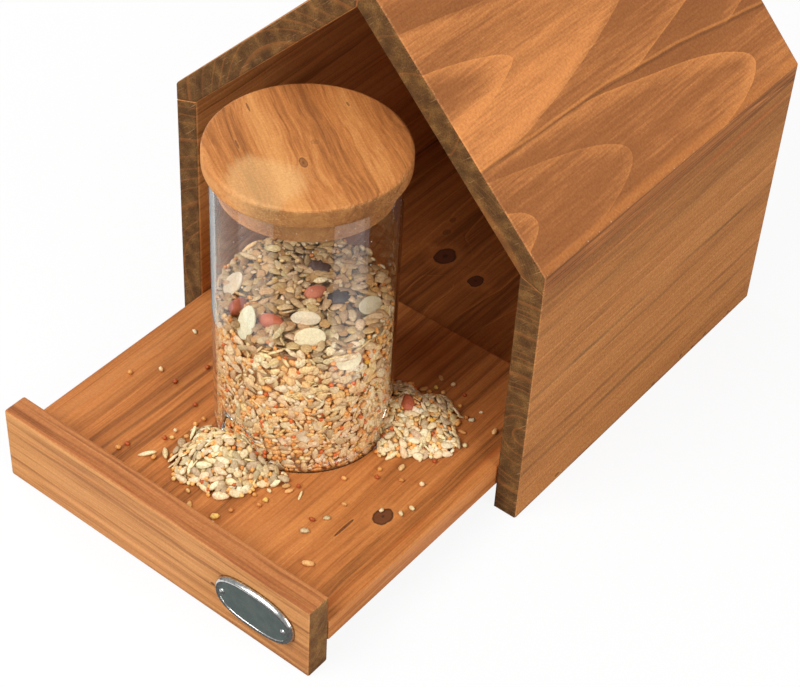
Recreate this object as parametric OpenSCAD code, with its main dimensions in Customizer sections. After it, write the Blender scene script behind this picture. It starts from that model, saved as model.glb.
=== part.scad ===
// Wooden bird feeder: a gabled house of boards, and a pull-out tray that carries a glass seed silo with a wooden lid.
// Millimetres, +Z up. The origin is the middle of the house's underside, and the open front faces -Y.

/* [House] */
// Width over the side walls
house_w = 200; // [170:1:240]
// Depth from the open front to the back
house_d = 200; // [196:1:240]
// Height of the roof's outer edge above the ground
eave_h = 141; // [137:1:180]
// Slope of the roof in degrees
roof_pitch = 45; // [44:0.5:48]
// Thickness of the side walls
wall_t = 12; // [10:0.5:15]
// Thickness of the roof boards
roof_t = 12; // [9:0.5:14]
// Thickness of the back wall
back_t = 12; // [8:0.5:14]
// Thickness of the fixed floor board
floor_t = 12.5; // [10:0.5:16]
// Drop of a wall's top edge from its inside to its outside
seat_fall = 4; // [2:0.5:6]
// Rounding on the edges of every board
edge_r = 1; // [0.5:0.1:1.5]
// Rounding along the roof's outer edge
eave_r = 2; // [1:0.1:4]

/* [Tray] */
// Length from the front board's face to the tray's back end
tray_len = 185; // [165:1:186]
// Thickness of the tray board
tray_t = 12; // [8:0.5:14]
// Thickness of the front board
front_t = 12; // [8:0.5:14]
// Height of the front board
front_h = 40; // [34:1:50]
// Height of the front board's lower edge above the ground
front_lift = 0.4; // [0.2:0.1:2]
// Gap between the tray and each side wall
tray_side_gap = 0.5; // [0.3:0.1:1.5]
// Gap under the tray, over the fixed floor
tray_under_gap = 0.3; // [0.2:0.05:0.8]
// Distance that the tray stands out of the house at rest
tray_out = 126.6; // [60:0.2:150]

/* [Badge] */
// Length of the oval plate
badge_w = 41; // [30:1:50]
// Height of the oval plate
badge_h = 22; // [16:0.5:26]
// Thickness of the oval plate
badge_t = 2.2; // [1:0.1:3]
// Fullness of the oval: 2 is an ellipse, and more is nearer to a rectangle
badge_full = 2.5; // [2:0.1:4]
// Distance of the plate's middle from the front board's right end
badge_end = 28.7; // [26:0.1:80]
// Height of the plate's middle above the front board's middle
badge_up = 1.2; // [0:0.1:3]
// Distance between the two pins
badge_pin_span = 33; // [20:1:34]
// Diameter of a pin's shank
badge_pin_d = 1.8; // [1.2:0.1:2.4]
// Diameter of a pin's domed head
badge_head_d = 3.2; // [2.6:0.1:4]
// Length of a pin's shank in the front board
badge_pin_len = 6; // [3:0.5:7]

/* [Silo] */
// Outer diameter of the glass
glass_d = 80; // [70:1:84]
// Height of the glass
glass_h = 139; // [120:1:140]
// Thickness of the glass
glass_t = 2.5; // [2:0.1:4]
// Width of a seed outlet
outlet_w = 22; // [16:1:26]
// Height of a seed outlet
outlet_h = 18; // [14:1:22]
// Number of seed outlets around the foot
outlet_count = 3; // [2:1:3]
// Direction of the first outlet
outlet_turn = 264; // [0:1:359]
// Gap where the glass and the lid rest
rest_gap = 0.15; // [0.1:0.05:0.4]

/* [Lid] */
// Diameter of the lid's disc
lid_d = 86; // [80:1:90]
// Thickness of the lid's disc
lid_t = 9.2; // [6:0.2:10]
// Rounding on the disc's edge
lid_edge_r = 2; // [0.5:0.1:3]
// Depth of the plug in the glass
plug_h = 11; // [6:0.5:16]
// Gap between the plug and the glass
plug_gap = 0.4; // [0.2:0.05:1]

/* [Seed] */
// Height of the seed in the silo
fill_h = 72; // [40:1:110]
// Rise of the seed's middle over its edge
fill_dome = 3; // [1:0.5:6]
// Height of a heap outside an outlet
heap_h = 17; // [8:0.5:17]
// Radius of a heap
heap_r = 26; // [18:1:28]
// Distance of a heap's middle from the silo's wall
heap_out = 6; // [2:0.5:10]
// Gap between the seed and the glass, tray or wall
seed_gap = 0.3; // [0.2:0.05:0.6]

/* [Dowels] */
// Diameter of the dowels
dowel_d = 5; // [4:0.5:5]
// Depth of a dowel in the thinner board at a joint
dowel_bite = 7; // [5:0.5:7]
// Depth of a dowel in the board whose end it enters
dowel_root = 12; // [8:0.5:14]
// Gap round a dowel and past its ends
dowel_gap = 0.1; // [0.05:0.05:0.2]

/* [Hidden] */
$fn = 96;

half_w = house_w / 2;
half_d = house_d / 2;
inner_w = house_w - 2 * wall_t;
roof_slope = tan(roof_pitch);
roof_plumb = roof_t / cos(roof_pitch);
ridge_z = eave_h + half_w * roof_slope;
seat_in_z = roof_under_z(half_w - wall_t);
seat_out_z = seat_in_z - seat_fall;
back_inner_y = half_d - back_t;

// The fixed floor stops behind the front board of a closed tray
floor_front_y = -half_d + front_t + 2 * tray_side_gap;
floor_len = back_inner_y - floor_front_y;

tray_w = inner_w - 2 * tray_side_gap;
front_y = -half_d - tray_out;
tray_front_y = front_y + front_t;
tray_board_len = tray_len - front_t;
tray_z = floor_t + tray_under_gap;
tray_top_z = tray_z + tray_t;
front_mid_z = front_lift + front_h / 2;
badge_x = tray_w / 2 - badge_end;
badge_z = front_mid_z + badge_up;

silo_y = tray_front_y + tray_board_len / 2;
silo_z = tray_top_z + rest_gap;
glass_r = glass_d / 2;
bore_r = glass_r - glass_t;
lid_z = silo_z + glass_h + rest_gap;
fill_r = bore_r - seed_gap;

dowel_ease = 0.6;
badge_ease = 0.5;
head_rise = 0.9;
cut_over = 1;
arc_steps = 5;

wood_lit = [0.76, 0.48, 0.26];
wood_edge = [0.46, 0.34, 0.20];
wood_pale = [0.84, 0.66, 0.44];
seed_tone = [0.80, 0.67, 0.47];

// Height of the roof's underside at a distance from the middle
function roof_under_z(x) = ridge_z - roof_plumb - x * roof_slope;

// Points on an arc
function arc(x, y, r, from, to) =
    [for (i = [0 : arc_steps]) let (a = from + (to - from) * i / arc_steps) [x + r * cos(a), y + r * sin(a)]];

// The points of one corner of an outline, given with its neighbours as [x, z, radius]
function corner(before, here, after) =
    let (p = [here[0], here[1]], r = here[2],
         u = [before[0], before[1]] - p, v = [after[0], after[1]] - p,
         to_before = u / norm(u), to_after = v / norm(v),
         half = acos(to_before * to_after) / 2,
         middle = p + r / sin(half) * (to_before + to_after) / norm(to_before + to_after),
         start = p + r / tan(half) * to_before - middle,
         end = p + r / tan(half) * to_after - middle,
         from = atan2(start[1], start[0]),
         sweep = (atan2(end[1], end[0]) - from + 540) % 360 - 180)
    r == 0 ? [p] : arc(middle[0], middle[1], r, from, from + sweep);

// A whole outline from its corners
function outline(corners) =
    let (n = len(corners))
    [for (i = [0 : n - 1]) each corner(corners[(i + n - 1) % n], corners[i], corners[(i + 1) % n])];

// A prism along Y over a convex outline that stands in XZ, with its two ends eased all round
module eased_prism(corners, length) {
    hull()
        for (turn = [0, 45, 90])
            rotate([90, 0, 0])
                linear_extrude(height = length - 2 * edge_r * (1 - sin(turn)), center = true)
                    offset(delta = -edge_r * (1 - cos(turn)))
                        polygon(outline(corners));
}

// A board with its lower left front corner at the origin
module eased_board(width, length, height) {
    translate([0, length / 2, 0])
        eased_prism([for (c = [[0, 0], [width, 0], [width, height], [0, height]]) [c[0], c[1], edge_r]], length);
}

// A dowel along Z, its middle plane at the joint: bite above, root below
module dowel() {
    r = dowel_d / 2;
    low = -dowel_root + dowel_gap;
    high = dowel_bite - dowel_gap;
    rotate_extrude()
        polygon([[0, low], [r - dowel_ease, low], [r, low + dowel_ease],
                 [r, high - dowel_ease], [r - dowel_ease, high], [0, high]]);
}

module dowel_bore() {
    translate([0, 0, -dowel_root])
        cylinder(d = dowel_d + 2 * dowel_gap, h = dowel_root + dowel_bite);
}

// Places of the dowels: each module puts its children at every dowel of one kind of joint
module at_eave_dowels() {
    for (side = [-1, 1], y = [-0.35, 0, 0.35] * house_d)
        translate([side * (half_w - wall_t / 2), y, (seat_in_z + seat_out_z) / 2])
            children();
}

module at_ridge_dowels() {
    for (y = [-0.35, 0, 0.35] * house_d)
        translate([0, y, ridge_z - 0.7 * roof_plumb])
            rotate([0, 90, 0])
                children();
}

module at_back_dowels() {
    for (side = [-1, 1], z = [0.3, 0.75] * seat_out_z)
        translate([side * (half_w - wall_t), half_d - back_t / 2, z])
            rotate([0, side * 90, 0])
                children();
}

module at_floor_dowels() {
    for (side = [-1, 1], share = [0.15, 0.5, 0.85])
        translate([side * (half_w - wall_t), floor_front_y + share * floor_len, floor_t / 2])
            rotate([0, side * 90, 0])
                children();
}

module at_tray_dowels() {
    for (x = [-0.35, 0, 0.35] * tray_w)
        translate([x, tray_front_y, tray_z + tray_t / 2])
            rotate([90, 0, 0])
                children();
}

// A short dowel along Z, centred on the mitre that it crosses
module ridge_dowel(extra) {
    cylinder(d = dowel_d - 1 + 2 * extra, h = 2 * (dowel_bite + extra), center = true);
}

module wall(side) {
    corners = [[side * (half_w - wall_t), 0, 0], [side * half_w, 0, edge_r],
               [side * half_w, seat_out_z, 0], [side * (half_w - wall_t), seat_in_z, 0]];
    difference() {
        eased_prism(corners, house_d);
        at_eave_dowels() dowel_bore();
        at_back_dowels() dowel_bore();
        at_floor_dowels() dowel_bore();
    }
}

module roof(side) {
    corners = [[0, ridge_z - roof_plumb, 0], [0, ridge_z, 0], [side * half_w, eave_h, eave_r],
               [side * half_w, seat_out_z, 0], [side * (half_w - wall_t), seat_in_z, 0]];
    difference() {
        eased_prism(corners, house_d);
        at_eave_dowels() dowel_bore();
        at_ridge_dowels() ridge_dowel(dowel_gap);
    }
}

module left_wall() {
    color(wood_lit) wall(-1);
}

module right_wall() {
    color(wood_lit) wall(1);
}

module left_roof() {
    color(wood_lit) roof(-1);
}

module right_roof() {
    color(wood_lit) roof(1);
}

// Gable panel between the walls and under the roof
module back_wall() {
    x = inner_w / 2;
    color(wood_lit)
        difference() {
            translate([0, half_d - back_t / 2, 0])
                rotate([90, 0, 0])
                    linear_extrude(height = back_t, center = true)
                        polygon([[-x, 0], [x, 0], [x, seat_in_z], [0, roof_under_z(0)], [-x, seat_in_z]]);
            at_back_dowels() dowel_bore();
        }
}

module floor_board() {
    color(wood_lit)
        difference() {
            translate([-inner_w / 2, floor_front_y, 0])
                cube([inner_w, floor_len, floor_t]);
            at_floor_dowels() dowel_bore();
        }
}

module eave_dowels() {
    color(wood_pale) at_eave_dowels() dowel();
}

module ridge_dowels() {
    color(wood_pale) at_ridge_dowels() ridge_dowel(0);
}

module back_dowels() {
    color(wood_pale) at_back_dowels() dowel();
}

module floor_dowels() {
    color(wood_pale) at_floor_dowels() dowel();
}

module tray_board() {
    color(wood_lit)
        difference() {
            translate([-tray_w / 2, tray_front_y, tray_z])
                eased_board(tray_w, tray_board_len, tray_t);
            at_tray_dowels() dowel_bore();
        }
}

module tray_front() {
    color(wood_lit)
        difference() {
            translate([-tray_w / 2, front_y, front_lift])
                eased_board(tray_w, front_t, front_h);
            at_tray_dowels() dowel_bore();
            at_badge_pins()
                translate([0, 0, -badge_pin_len])
                    cylinder(d = badge_pin_d + 2 * dowel_gap, h = badge_pin_len + cut_over);
        }
}

module tray_dowels() {
    color(wood_pale) at_tray_dowels() dowel();
}

// The two pins of the badge, standing out of the front board along their own Z
module at_badge_pins() {
    for (side = [-1, 1])
        translate([badge_x + side * badge_pin_span / 2, front_y, badge_z])
            rotate([90, 0, 0])
                children();
}

// A share from -1 to 1, pushed out towards its end by the oval's fullness
function fuller(share) = sign(share) * pow(abs(share), 2 / badge_full);

// An oval outline, drawn in from the full size by an inset
function oval(inset) =
    [for (a = [0 : 3.75 : 359]) [(badge_w / 2 - inset) * fuller(cos(a)), (badge_h / 2 - inset) * fuller(sin(a))]];

module badge_plate() {
    color("lightsteelblue")
        difference() {
            translate([badge_x, front_y, badge_z])
                rotate([90, 0, 0])
                    hull() {
                        linear_extrude(height = badge_t - badge_ease) polygon(oval(0));
                        linear_extrude(height = badge_t) polygon(oval(badge_ease));
                    }
            at_badge_pins()
                translate([0, 0, -cut_over])
                    cylinder(d = badge_pin_d + 2 * dowel_gap, h = badge_t + 2 * cut_over);
        }
}

module badge_pins() {
    head_r = badge_head_d / 2;
    shank_r = badge_pin_d / 2;
    dome_r = (head_r * head_r + head_rise * head_rise) / (2 * head_rise);
    dome_span = asin(head_r / dome_r);
    seat_z = badge_t;
    color("silver")
        at_badge_pins()
            rotate_extrude()
                polygon(concat([[0, -badge_pin_len + dowel_gap], [shank_r, -badge_pin_len + dowel_gap],
                                [shank_r, seat_z]],
                               arc(0, seat_z + head_rise - dome_r, dome_r, 90 - dome_span, 90)));
}

// The silo's own frame: the origin is the middle of its foot
module at_silo() {
    translate([0, silo_y, silo_z]) children();
}

// The seed's own frame: the origin is on the tray, under the middle of the silo
module at_seed() {
    translate([0, silo_y, tray_top_z]) children();
}

// Each outlet's direction, along its own X
module at_outlets() {
    for (i = [0 : outlet_count - 1])
        rotate([0, 0, outlet_turn + i * 360 / outlet_count])
            children();
}

// An arch along X between two radii, smaller all round by an inset and reaching a little below the foot
module outlet_arch(from_r, to_r, inset, below) {
    w = outlet_w - 2 * inset;
    spring_z = outlet_h - outlet_w / 2;
    translate([from_r, 0, 0])
        rotate([90, 0, 90])
            linear_extrude(height = to_r - from_r) {
                translate([-w / 2, -below]) square([w, spring_z + below]);
                translate([0, spring_z]) circle(d = w);
            }
}

module glass_silo() {
    rim = glass_t / 2;
    mid = bore_r + rim;
    color([0.85, 0.92, 0.93, 0.35])
        at_silo()
            difference() {
                rotate_extrude()
                    polygon(concat([[bore_r, 0], [glass_r, 0]], arc(mid, glass_h - rim, rim, 0, 180)));
                at_outlets() outlet_arch(bore_r / 2, glass_r + cut_over, 0, cut_over);
            }
}

module lid_disc() {
    r = lid_d / 2;
    e = lid_edge_r;
    color(wood_pale)
        translate([0, silo_y, lid_z])
            rotate_extrude()
                polygon(concat([[0, 0]], arc(r - e, e, e, -90, 0), arc(r - e, lid_t - e, e, 0, 90), [[0, lid_t]]));
}

// Smaller disc under the lid, which keeps it centred in the glass
module lid_plug() {
    r = bore_r - plug_gap;
    color(wood_pale)
        translate([0, silo_y, lid_z - plug_h])
            rotate_extrude()
                polygon(concat([[0, 0]], arc(r - edge_r, edge_r, edge_r, -90, 0), [[r, plug_h], [0, plug_h]]));
}

// Seed in the silo, with a low dome on top
module seed_fill() {
    color(seed_tone)
        at_seed()
            rotate_extrude()
                polygon(concat([[0, 0], [fill_r, 0]],
                               [for (i = [0 : arc_steps]) let (f = 1 - i / arc_steps)
                                   [fill_r * f, fill_h + fill_dome * (1 - f * f)]]));
}

// A heap of seed at every outlet, with a neck that reaches through the glass
module seed_heaps() {
    middle = glass_r + heap_out;
    color(seed_tone)
        at_seed()
            at_outlets()
                union() {
                    difference() {
                        translate([middle, 0, 0])
                            rotate_extrude()
                                polygon(concat([[0, 0], [heap_r, 0]],
                                               [for (i = [1 : arc_steps]) let (f = 1 - i / arc_steps)
                                                   [heap_r * f, heap_h * (1 - f * f)]]));
                        translate([0, 0, -cut_over])
                            cylinder(r = glass_r + seed_gap, h = heap_h + 2 * cut_over);
                    }
                    intersection() {
                        outlet_arch(bore_r / 2, middle, seed_gap, 0);
                        difference() {
                            cylinder(r = middle, h = heap_h);
                            translate([0, 0, -cut_over])
                                cylinder(r = fill_r + seed_gap, h = heap_h + 2 * cut_over);
                        }
                    }
                }
}

left_wall();
right_wall();
left_roof();
right_roof();
back_wall();
floor_board();
eave_dowels();
ridge_dowels();
back_dowels();
floor_dowels();
tray_board();
tray_front();
tray_dowels();
badge_plate();
badge_pins();
glass_silo();
lid_disc();
lid_plug();
seed_fill();
seed_heaps();
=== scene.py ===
# %% [markdown]
# # A wooden bird feeder, dressed in Blender
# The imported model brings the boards, the glass, the lid and the badge with their true sizes. This script adds what
# the solids lack: stained wood with real growth rings, clear glass, polished metal, and seed made grain by grain.
# Meshes, lamps and the camera are measured in metres. The marks of the wood, the glass and the seed are worked out in
# millimetres, and MM turns those into metres.

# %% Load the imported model
import math
import bmesh
import bpy
import numpy as np
from mathutils import Matrix, Vector


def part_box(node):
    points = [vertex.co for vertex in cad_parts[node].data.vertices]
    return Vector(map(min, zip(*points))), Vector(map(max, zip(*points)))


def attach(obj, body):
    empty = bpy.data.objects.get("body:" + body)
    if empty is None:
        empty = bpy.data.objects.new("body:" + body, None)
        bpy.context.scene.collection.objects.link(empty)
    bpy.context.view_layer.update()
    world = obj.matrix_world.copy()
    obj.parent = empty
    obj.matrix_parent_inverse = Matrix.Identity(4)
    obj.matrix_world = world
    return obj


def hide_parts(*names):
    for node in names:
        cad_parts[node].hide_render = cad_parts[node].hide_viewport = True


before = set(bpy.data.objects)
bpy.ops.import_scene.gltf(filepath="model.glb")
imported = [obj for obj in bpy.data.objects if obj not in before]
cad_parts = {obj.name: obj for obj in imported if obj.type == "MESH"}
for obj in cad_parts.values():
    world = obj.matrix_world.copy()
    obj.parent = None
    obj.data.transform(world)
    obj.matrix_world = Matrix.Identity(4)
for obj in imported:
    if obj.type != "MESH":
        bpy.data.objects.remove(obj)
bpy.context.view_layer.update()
MM = 0.001

# %% [markdown]
# ## The camera
# A camera is a place, a direction and a lens. The photograph was measured: the straight edges of the boards give the
# azimuth, the elevation, a small roll and the focal length in pixels. The picture is a crop of a wider one, so its
# optical middle lies a little left of the frame's middle; the lens shift puts it there.

# %% Camera at the photograph's angle
PHOTO_W, PHOTO_H = 800, 687
VIEW_AZIMUTH, VIEW_ELEVATION, VIEW_ROLL = map(math.radians, (37.603, 42.447, 2.506))
VIEW_FOCAL_PX = 1965.4
VIEW_MIDDLE_PX = (360.0, 335.0)
CAMERA_PLACE = (0.40348, -0.61240, 0.64744)

towards_camera = Vector((math.sin(VIEW_AZIMUTH) * math.cos(VIEW_ELEVATION),
                         -math.cos(VIEW_AZIMUTH) * math.cos(VIEW_ELEVATION),
                         math.sin(VIEW_ELEVATION)))
lens = bpy.data.cameras.new("photo_camera")
lens.sensor_fit = "HORIZONTAL"
lens.sensor_width = 36.0
lens.lens = VIEW_FOCAL_PX * lens.sensor_width / PHOTO_W
lens.shift_x = (PHOTO_W / 2 - VIEW_MIDDLE_PX[0]) / PHOTO_W
lens.shift_y = (VIEW_MIDDLE_PX[1] - PHOTO_H / 2) / PHOTO_W
lens.clip_start, lens.clip_end = 0.01, 50
camera = bpy.data.objects.new("photo_camera", lens)
camera.location = CAMERA_PLACE
upright = (-towards_camera).to_track_quat("-Z", "Y").to_matrix()
camera.rotation_euler = (upright @ Matrix.Rotation(VIEW_ROLL, 3, "Z")).to_euler()
bpy.context.collection.objects.link(camera)
bpy.context.scene.camera = camera
print("lens", round(lens.lens, 2), "mm, shift", round(lens.shift_x, 4), round(lens.shift_y, 4))

# %% [markdown]
# ## A small language for shaders
# A material in Blender is a graph of nodes. Writing the graph by hand is long, so a socket is wrapped in a class that
# knows plus, minus, times and divide: an expression such as `1 - ring * 0.4` then adds its Math nodes by itself. Every
# other kind of node comes from one method, `node`.

# %% Shader sums as Python sums
class Socket:
    """The output of a node, which takes part in sums."""

    def __init__(self, bench, link):
        self.bench, self.link = bench, link

    def maths(self, operation, *others, swap=False):
        values = [*others, self] if swap else [self, *others]
        return self.bench.node("Math", {"operation": operation}, dict(enumerate(values)))

    def __add__(self, other): return self.maths("ADD", other)
    def __radd__(self, other): return self.maths("ADD", other)
    def __sub__(self, other): return self.maths("SUBTRACT", other)
    def __rsub__(self, other): return self.maths("SUBTRACT", other, swap=True)
    def __mul__(self, other): return self.maths("MULTIPLY", other)
    def __rmul__(self, other): return self.maths("MULTIPLY", other)
    def __truediv__(self, other): return self.maths("DIVIDE", other)
    def __rtruediv__(self, other): return self.maths("DIVIDE", other, swap=True)

    def above(self, low, high):
        """0 below low, 1 above high, and a smooth step between them. With low over high, the step goes down."""
        return self.bench.node("MapRange", {"interpolation_type": "SMOOTHSTEP"},
                               {"Value": self, "From Min": low, "From Max": high})


class Bench:
    """The workbench of one material, or of the sky."""

    def __init__(self, name, kept_in=bpy.data.materials):
        self.material = kept_in.new(name)
        self.material.use_nodes = True
        self.tree = self.material.node_tree
        self.tree.nodes.clear()

    def node(self, kind, settings=None, inputs=None, out=0):
        """Adds a node: first its settings, then the values or links of its sockets. Returns one of its outputs."""
        made = self.tree.nodes.new("ShaderNode" + kind)
        for key, value in (settings or {}).items():
            if key == "stops":
                ramp = made.color_ramp
                while len(ramp.elements) < len(value):
                    ramp.elements.new(0.5)
                for element, (place, colour) in zip(ramp.elements, value):
                    element.position, element.color = place, colour
            else:
                setattr(made, key, value)
        for key, value in (inputs or {}).items():
            if isinstance(value, Socket):
                self.tree.links.new(value.link, made.inputs[key])
            else:
                made.inputs[key].default_value = value
        return Socket(self, made.outputs[out]) if made.outputs else made

    def split(self, vector):
        """The three parts of a vector."""
        first = self.node("SeparateXYZ", inputs={"Vector": vector})
        return [Socket(self, output) for output in first.link.node.outputs]

    def join(self, x, y, z):
        return self.node("CombineXYZ", inputs={"X": x, "Y": y, "Z": z})

    def mix(self, share, first, second, how="MIX"):
        """A colour between two colours."""
        return self.node("Mix", {"data_type": "RGBA", "blend_type": how, "clamp_factor": True},
                         {0: share, 6: first, 7: second}, out=2)

    def noise(self, vector, scale=1.0, detail=2.0, roughness=0.5, out=0):
        values = {"Vector": vector, "Scale": scale, "Detail": detail, "Roughness": roughness}
        return self.node("TexNoise", {}, values, out)

    def here(self):
        """The place of the point that is being shaded, in metres."""
        return self.node("TexCoord", out="Object")

    def rays(self, *names):
        """Outputs of Light Path, which tell one kind of ray from another."""
        path = self.node("LightPath").link.node
        return [Socket(self, path.outputs[name]) for name in names]

    def finish(self, surface, volume=None, output="OutputMaterial"):
        self.node(output, inputs={"Surface": surface, **({"Volume": volume} if volume else {})})
        return self.material


def tone(red, green, blue):
    """A colour as it is read off a screen, 0 to 255, in the linear light that shaders work in."""
    def linear(v):
        v /= 255
        return v / 12.92 if v <= 0.04045 else ((v + 0.055) / 1.055) ** 2.4
    return (linear(red), linear(green), linear(blue), 1.0)


print("a screen's middle grey, 128, is", round(tone(128, 128, 128)[0], 3), "in linear light")

# %% [markdown]
# ## Floor and light
# A product picture has a white ground. The floor here is pale and takes the feeder's shadow, and for rays that come
# straight from the camera, or through glass, most of it shines white. That whitens the picture without putting more
# light on the feeder. Seen through glass, the floor in front of the silo stays grey, a painted shade. Glass and metal
# mirror the floor as well, but there it is grey, a painted shade, and only two patches shine, one to the left and one
# to the right: they are painted reflections, which draw the two pale upright stripes on the silo. Soft lamps and a
# grey sky do the lighting, and the camera sees that sky white.

# %% Floor
FLOOR_GREY, FLOOR_SHINE, MIRROR_SHADE_GREY = 0.85, 0.90, 0.16
FLOOR_HALF, FLOOR_Z = 6.0, -0.0002
SILO_LINE, TRAY_LINE = (1, 0, -0.017), (0.282, 0.959, 0.1355)


def new_object(name, points, faces, material, smooth=False):
    """An object from points in metres, and faces that name their points by number."""
    mesh = bpy.data.meshes.new(name)
    mesh.from_pydata(points, [], faces)
    mesh.polygons.foreach_set("use_smooth", [smooth] * len(mesh.polygons))
    mesh.materials.append(material)
    made = bpy.data.objects.new(name, mesh)
    bpy.context.collection.objects.link(made)
    return made


bench = Bench("studio_floor")
straight, mirrored, through = bench.rays("Is Camera Ray", "Is Glossy Ray", "Is Transmission Ray")
floor_x, floor_y, _ = bench.split(bench.here())


def beyond(across, along, start, sign=1):
    """1 on one side of a line on the floor and 0 on the other, with a soft edge. A sign of -1 swaps the sides."""
    return ((floor_x * across + floor_y * along + start) * sign).above(-0.003, 0.003)


# painted reflections: two patches of floor that glass and metal see white; elsewhere they see it grey, a painted shade
left_reflection_patch = beyond(*SILO_LINE, sign=-1) * beyond(0.69, -0.724, -0.119)
right_reflection_patch = beyond(*TRAY_LINE) * beyond(0.368, -0.93, -0.1432)
# painted shade: the floor in front of the silo stays grey where it is seen through glass
shaded_front_patch = beyond(*SILO_LINE) * beyond(*TRAY_LINE, sign=-1) * beyond(0, 1, 0.5) * beyond(-1, 0, 0.35)
mirror_white = left_reflection_patch.maths("MAXIMUM", right_reflection_patch) * (1 - MIRROR_SHADE_GREY) + MIRROR_SHADE_GREY
through_white = 1 - shaded_front_patch * (1 - MIRROR_SHADE_GREY)
whiteness = straight.maths("MAXIMUM", through * through_white).maths("MAXIMUM", mirrored * mirror_white)
paint = bench.node("BsdfDiffuse", inputs={"Color": (FLOOR_GREY, FLOOR_GREY, FLOOR_GREY, 1)})
glow = bench.node("Emission", inputs={"Color": bench.join(whiteness, whiteness, whiteness), "Strength": 1.0})
shine = (straight.maths("MAXIMUM", through) * FLOOR_SHINE).maths("MAXIMUM", mirrored)
floor_paint = bench.finish(bench.node("MixShader", inputs={0: shine, 1: paint, 2: glow}))
floor_corners = [(x * FLOOR_HALF, y * FLOOR_HALF, FLOOR_Z) for x, y in ((-1, -1), (1, -1), (1, 1), (-1, 1))]
studio_floor = new_object("studio_floor", floor_corners, [(0, 1, 2, 3)], floor_paint)
print("floor:", 2 * FLOOR_HALF, "m wide,", len(bench.tree.nodes), "nodes in its paint")

# %% Lamps and sky
FEEDER_MIDDLE = Vector((0.0, -0.06, 0.1))
SKY_LIGHT, SKY_WHITE = 0.42, 1.0
LAMPS = [("key_softbox", (-0.35, -1.25, 1.45), (1.1, 1.1), 26, (1, 1, 1)),
         ("right_softbox", (1.5, -0.35, 0.85), (0.8, 1.2), 13, (1, 1, 1)),
         ("left_strip", (-1.15, 0.1, 0.75), (0.35, 1.2), 5, (0.93, 0.97, 1.0))]
for name, place, (width, height), watts, colour in LAMPS:
    light = bpy.data.lights.new(name, "AREA")
    light.shape, light.size, light.size_y = "RECTANGLE", width, height
    light.energy, light.color = watts, colour
    lamp = bpy.data.objects.new(name, light)
    lamp.location = place
    lamp.rotation_euler = (FEEDER_MIDDLE - Vector(place)).to_track_quat("-Z", "Y").to_euler()
    bpy.context.collection.objects.link(lamp)

bench = Bench("studio_sky", bpy.data.worlds)
straight, through = bench.rays("Is Camera Ray", "Is Transmission Ray")
grey, white = (bench.node("Background", inputs={"Color": (1.0, 1.0, 1.0, 1), "Strength": strength})
               for strength in (SKY_LIGHT, SKY_WHITE))
sky = bench.node("MixShader", inputs={0: straight.maths("MAXIMUM", through), 1: grey, 2: white})
bpy.context.scene.world = bench.finish(sky, output="OutputWorld")
bpy.context.scene.view_settings.view_transform = "Standard"
print("lamps:", [(name, watts) for name, _, _, watts, _ in LAMPS])

# %% [markdown]
# ## Stained softwood
# A plank is a slice of a log, and its pattern is the log's growth rings, cut by the plank's faces. So the shader keeps
# to the log: it measures how far each point is from the pith, the log's middle line, and turns that distance into
# years. A face that cuts the rings on the slant shows arches, a face that runs with them shows straight lines, and the
# plank's ends show arcs, all from the same numbers. A year's line is kept equally thin everywhere, so the shader also
# works out how many years go by for each millimetre along the face.

# %% Years of a log
class Plank(Bench):
    """The workbench of one board. Its x, y and z are millimetres, and y runs along the grain, which swings by wave."""

    def __init__(self, name, turn=0.0, wave=2.0):
        super().__init__(name)
        self.spin = Matrix.Rotation(-turn, 3, "Z")
        self.at = self.node("Mapping", {"vector_type": "POINT"},
                            {"Vector": self.here(), "Rotation": (0, 0, -turn), "Scale": (1 / MM, 1 / MM, 1 / MM)})
        self.facing = self.node("Mapping", {"vector_type": "NORMAL"},
                                {"Vector": self.node("NewGeometry", out="Normal"), "Rotation": (0, 0, -turn)})
        self.x, self.y, self.z = self.split(self.at)
        swing = self.noise(self.at, 0.028, 1.0) - 0.5
        self.x, self.z = self.x + swing * wave, self.z + swing * wave

    def stretch(self, across, along, detail=2.0, roughness=0.5):
        """Noise with so many lumps for each millimetre across the grain and along it."""
        return self.noise(self.join(self.x * across, self.y * along, self.z * across), 1.0, detail, roughness)

    def apart(self, place, squeeze=(1, 1, 1)):
        """Distance from a place, squeezed along each axis."""
        away = self.node("VectorMath", {"operation": "SUBTRACT"}, {0: self.at, 1: self.spin @ Vector(place)})
        away = self.node("VectorMath", {"operation": "MULTIPLY"}, {0: away, 1: squeeze})
        return self.node("VectorMath", {"operation": "LENGTH"}, {0: away}, out=1)


def round_years(pith, lean, ring, phase=0.0, wander=5.0, uneven=1.8):
    """Years round a straight pith. pith: its place (x, z) at y = 0. lean: its drift for each step along y. ring: the
    width of a year. Gives the years, the years for each millimetre of the face, and no seam or lift."""
    def years(p):
        drift = p.noise(p.join(p.x * 0.014, p.y * 0.0042, p.z * 0.014), detail=1.5, out=1)
        sway_x, sway_z, _ = p.split(drift)
        off_x = p.x - p.y * lean[0] - pith[0] + (sway_x - 0.5) * (2 * wander)
        off_z = p.z - p.y * lean[1] - pith[1] + (sway_z - 0.5) * (2 * wander)
        radius = (off_x * off_x + off_z * off_z).maths("SQRT")
        face_x, _, face_z = p.split(p.facing)
        straight = (off_x * face_x + off_z * face_z) / radius
        slope = (1.003 - straight * straight).maths("SQRT")
        wide = p.node("TexNoise", {"noise_dimensions": "1D"}, {"W": radius * (0.4 / ring), "Scale": 1.0, "Detail": 0.0})
        return radius / ring + wide * uneven + phase, slope / ring, None, None
    return years


ARCH_STEP, WEDGE_MM, WEDGE_BLUNT = 0.3927, 16.5, 1.5
LOWER_ARCHES_AT, UPPER_ARCHES_AT, SEAM_AT = 123.5, 62, 93


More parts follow.
